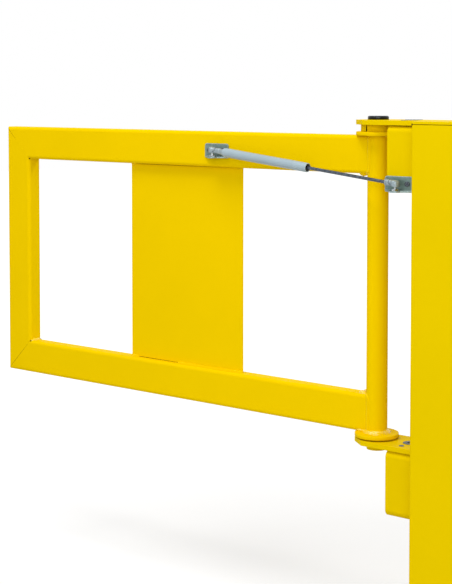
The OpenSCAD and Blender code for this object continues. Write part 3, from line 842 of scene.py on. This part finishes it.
start, end, r, bore, gland = (cylinder[key] for key in ("start", "end", "radius", "bore", "gland"))
barrel = [(start + up * mm, radius * mm) for up, radius in cylinder["dome"]]
barrel += [(start + up * mm, r) for up in (5, 40, 120)]
barrel += insideEnd([(30, r), (2.2, r), (1, r - 0.25 * mm), (0.2, r - 0.9 * mm), (0, bore + 0.3 * mm),
                     (0.4, bore), (3, bore), (3.2, 0.6 * bore)])
barrelSkin = onSpring(barrel)
barrelPiece = addPiece("spring_barrel", [barrelSkin], "cylinder", finishes["spring_grey"])
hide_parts("spring_cylinder")
glandRing = insideEnd([(2.9, gland), (2.9, bore - 0.1 * mm), (0.9, bore - 0.1 * mm), (0.5, bore - 0.6 * mm),
                       (0.7, 0.7 * bore), (0.2, 0.62 * bore), (0.2, gland + 0.4 * mm), (0.5, gland)])
glandSkin = onSpring(glandRing, 40, True)
glandPiece = addPiece("gland_ring", [glandSkin], "cylinder", finishes["black_plastic"])
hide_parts("cylinder_gland")

socket = {
    "head": 9 * mm, "shank": 7 * mm,    # radii
    "length": 25 * mm, "back": 6 * mm,    # how far the shank's box reaches each way from the ball
    "top": 7.6 * mm, "under": 5.5 * mm,    # height above and below the ball's middle
    "shoulder": 2.5 * mm, "slope": 0.8 * mm,    # where the head rounds over, and the slope below it
    "ball": 5.05 * mm, "mouth": 4.6 * mm, "throat": 2.1 * mm,
    "seat": (4.9, 4.4, 3.4, 2, 0, -1),    # heights of the loops in the seat, in millimetres
    "collar": 6.5 * mm, "collarBore": 5 * mm, "lap": 1 * mm,
    "domePower": 2.4, "boxPower": 8, "blendPower": 10, "spread": 1.8,
}


# Looking along the pivot, the reach of the outline is a power mean of the head's circle and the shank's box,
# so that the two flow together. The loops start in the ball's seat, come out of the mouth and go up outside.
def ballSocket(ball, lead):
    share = np.linspace(-1, 1, 120, endpoint=False)
    phi = math.pi * np.sign(share) * np.abs(share) ** socket["spread"]
    top, under, slope, shoulder = (socket[key] for key in ("top", "under", "slope", "shoulder"))
    radius = socket["shank"]
    below = [-under, -under + 0.2 * mm, -under + slope]
    z = np.r_[below, radius * np.sin(np.linspace(-0.6, 1.55, 26)), np.linspace(0.90, 0.999, 8) * top]
    z = np.sort(z)[:, None]
    dome = np.clip((z - shoulder) / (top - shoulder), 0, 1)
    head = socket["head"] * (1 - dome ** socket["domePower"]) ** (1 / socket["domePower"])
    head = np.maximum(head - 0.6 * np.clip(slope - under - z, 0, 1 * mm), 0.02 * mm)
    waist = np.sqrt(np.maximum(radius ** 2 - z ** 2, (0.05 * mm) ** 2))
    far = np.where(np.cos(phi) > 0, socket["length"], socket["back"])
    power, blend = socket["boxPower"], socket["blendPower"]
    shank = ((np.abs(np.sin(phi)) / waist) ** power + (np.abs(np.cos(phi)) / far) ** power) ** (-1 / power)
    shank = np.where(z < radius, shank, 0)
    outside = (head ** blend + shank ** blend) ** (1 / blend)
    seatZ = np.array(socket["seat"])[:, None] * mm
    seat = np.sqrt(socket["ball"] ** 2 - seatZ ** 2) + 0 * phi
    mouth = np.array([-socket["throat"], -under])[:, None]
    reach = np.vstack([seat, socket["mouth"] + 0 * mouth + 0 * phi, outside])[..., None]
    height = np.vstack([seatZ, mouth, z])[..., None]
    across = np.cross(pivotAxis, lead)
    phi = phi[None, :, None]
    return skin(ball + reach * (np.cos(phi) * lead + np.sin(phi) * across) + height * pivotAxis)


rodSocket = addPiece("rod_ball_socket", [ballSocket(armBall, -springAxis)], "rod", brightZinc,
                     sheetAngle)
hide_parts("rod_socket")
collarFoot, collarTop = socket["length"] - socket["lap"], start + socket["lap"]
collar = [(collarFoot, socket["collarBore"]), (collarFoot, socket["collar"]),
          (collarTop, socket["collar"]), (collarTop, socket["collarBore"])]
socketSkins = [ballSocket(leafBall, springAxis), onSpring(collar, 40)]
cylinderSocket = addPiece("cylinder_ball_socket", socketSkins, "cylinder", brightZinc,
                          sheetAngle)
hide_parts("cylinder_socket")

clip = {
    "wire": 0.9 * mm, "seat": 12.5 * mm, "shank": 7 * mm,
    "sunk": 0.3,    # share of the wire's width between the shank and the wire's middle
    "round": 80,    # degrees that the wire lies round the shank to each side
    "leg": [(11, 0, -0.4), (8.4, 0.3, -1.8), (6, 0.9, -2.8), (3.6, 1.33, -3.6), (2.4, 0.13, -3.9)],
}


# Spring wire that lies over the shank and comes down both sides into the head. The leg is given in
# millimetres along the socket, out from the wire on the shank, and up. Each point is then drawn towards the
# middle of its neighbours, over and over.
def clipWire(ball, lead):
    across = np.cross(pivotAxis, lead)
    reach = clip["shank"] + clip["sunk"] * clip["wire"]
    angle = np.radians(np.linspace(-clip["round"], clip["round"], 17))
    over = track(clip["seat"], reach * np.sin(angle), reach * np.cos(angle))
    leg = np.array(clip["leg"]) * mm + [0, reach, 0]
    path = np.vstack([(leg * [1, -1, 1])[::-1], over, leg])
    path = readAt(np.linspace(0, len(path) - 1, 110), np.arange(len(path)), path)
    for _ in range(6):
        path[1:-1] = (path[:-2] + 2 * path[1:-1] + path[2:]) / 4
    return wire(ball + path @ np.array([lead, across, pivotAxis]), clip["wire"])


rodClip = addPiece("rod_clip_wire", [clipWire(armBall, -springAxis)], "rod", rodSteel)
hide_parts("rod_socket_clip")
clipSkin = clipWire(leafBall, springAxis)
cylinderClip = addPiece("cylinder_clip_wire", [clipSkin], "cylinder", rodSteel)
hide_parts("cylinder_socket_clip")
print("gate: gas spring")

studio = {
    "floor": 0.60,    # how pale the floor is to everything but the camera
    # white to the camera but for the shadow: the glow rises between these distances
    "floorShade": 0.56, "glow": (0.42, 0.80), "glowReach": (1.0, 4.0),
    "floorHalf": 14.0, "ambient": 0.57, "middle": (-0.6, 0, 0.75),
    # name, place, size and power
    "lamps": [("key", (2.9, 2.0, 3.7), (0.6, 0.6), 47), ("above", (-0.8, -1.6, 4.4), (2.6, 1.8), 88),
              ("front", (1.9, -3.8, 1.9), (2.8, 2.0), 67)],
}


# A grey of this brightness as a colour with its alpha
def grey(value):
    return (value, value, value, 1)


# The second surface to camera, glossy and transmission rays, and the first to all others
def whiteRays(tree, plain, white, surface):
    path = addNode(tree, "ShaderNodeLightPath")
    first = addNode(tree, "ShaderNodeMath", operation="MAXIMUM")
    second = addNode(tree, "ShaderNodeMath", operation="MAXIMUM")
    choose = addNode(tree, "ShaderNodeMixShader")
    tree.links.new(path.outputs["Is Camera Ray"], first.inputs[0])
    tree.links.new(path.outputs["Is Glossy Ray"], first.inputs[1])
    tree.links.new(first.outputs[0], second.inputs[0])
    tree.links.new(path.outputs["Is Transmission Ray"], second.inputs[1])
    for count, node in enumerate((second, plain, white)):
        tree.links.new(node.outputs[0], choose.inputs[count])
    tree.links.new(choose.outputs[0], surface)


# A wide floor that catches the shadow and gets whiter with the distance from the gate
def studioFloor():
    half = studio["floorHalf"]
    mesh = bpy.data.meshes.new("floor")
    corners = [(-half, -half, 0), (half, -half, 0), (half, half, 0), (-half, half, 0)]
    mesh.from_pydata(corners, [], [(0, 1, 2, 3)])
    floor = bpy.data.objects.new("floor", mesh)
    bpy.context.scene.collection.objects.link(floor)
    material = bpy.data.materials.new("floorPaint")
    material.use_nodes = True
    tree = material.node_tree
    tree.nodes.clear()
    out = addNode(tree, "ShaderNodeOutputMaterial")
    plain = addNode(tree, "ShaderNodeBsdfDiffuse", Color=grey(studio["floor"]))
    shown = addNode(tree, "ShaderNodeBsdfDiffuse", Color=grey(studio["floorShade"]))
    glow = addNode(tree, "ShaderNodeEmission", Color=grey(1))
    place = addNode(tree, "ShaderNodeTexCoord")
    distance = addNode(tree, "ShaderNodeVectorMath", operation="LENGTH")
    both = addNode(tree, "ShaderNodeAddShader")
    tree.links.new(place.outputs["Object"], distance.inputs[0])
    strength = ranged(tree, distance.outputs["Value"], *studio["glowReach"], *studio["glow"])
    tree.links.new(strength, glow.inputs["Strength"])
    tree.links.new(shown.outputs[0], both.inputs[0])
    tree.links.new(glow.outputs[0], both.inputs[1])
    whiteRays(tree, plain, both, out.inputs["Surface"])
    mesh.materials.append(material)


# Even light from all sides, behind which the camera sees white
def studioWorld():
    world = bpy.data.worlds.new("studio")
    world.use_nodes = True
    tree = world.node_tree
    tree.nodes.clear()
    out = addNode(tree, "ShaderNodeOutputWorld")
    soft = addNode(tree, "ShaderNodeBackground", Color=grey(1), Strength=studio["ambient"])
    white = addNode(tree, "ShaderNodeBackground", Color=grey(1), Strength=1.0)
    whiteRays(tree, soft, white, out.inputs["Surface"])
    bpy.context.scene.world = world


# A rectangular lamp that looks at the middle of the gate
def softLight(name, place, size, power):
    lamp = bpy.data.lights.new(name, "AREA")
    lamp.shape, lamp.size, lamp.size_y, lamp.energy = "RECTANGLE", size[0], size[1], power
    holder = bpy.data.objects.new(name, lamp)
    holder.location = place
    holder.rotation_euler = (Vector(studio["middle"]) - Vector(place)).to_track_quat("-Z", "Y").to_euler()
    bpy.context.scene.collection.objects.link(holder)


studioFloor()
studioWorld()
for lamp in studio["lamps"]:
    softLight(*lamp)

view = {"place": (1.4546, -2.5387, 1.1644), "yaw": 39.721, "down": 3.0, "lens": 90.33, "sensor": 36,
        "shiftY": -0.2174}
camera = bpy.data.cameras.new("camera")
camera.lens, camera.sensor_width, camera.shift_y = view["lens"], view["sensor"], view["shiftY"]
holder = bpy.data.objects.new("camera", camera)
holder.location = view["place"]
holder.rotation_euler = (math.radians(90 - view["down"]), 0, math.radians(view["yaw"]))
bpy.context.scene.collection.objects.link(holder)
bpy.context.scene.camera = holder
bpy.context.scene.view_settings.view_transform = "Standard"
print("gate: studio and camera")
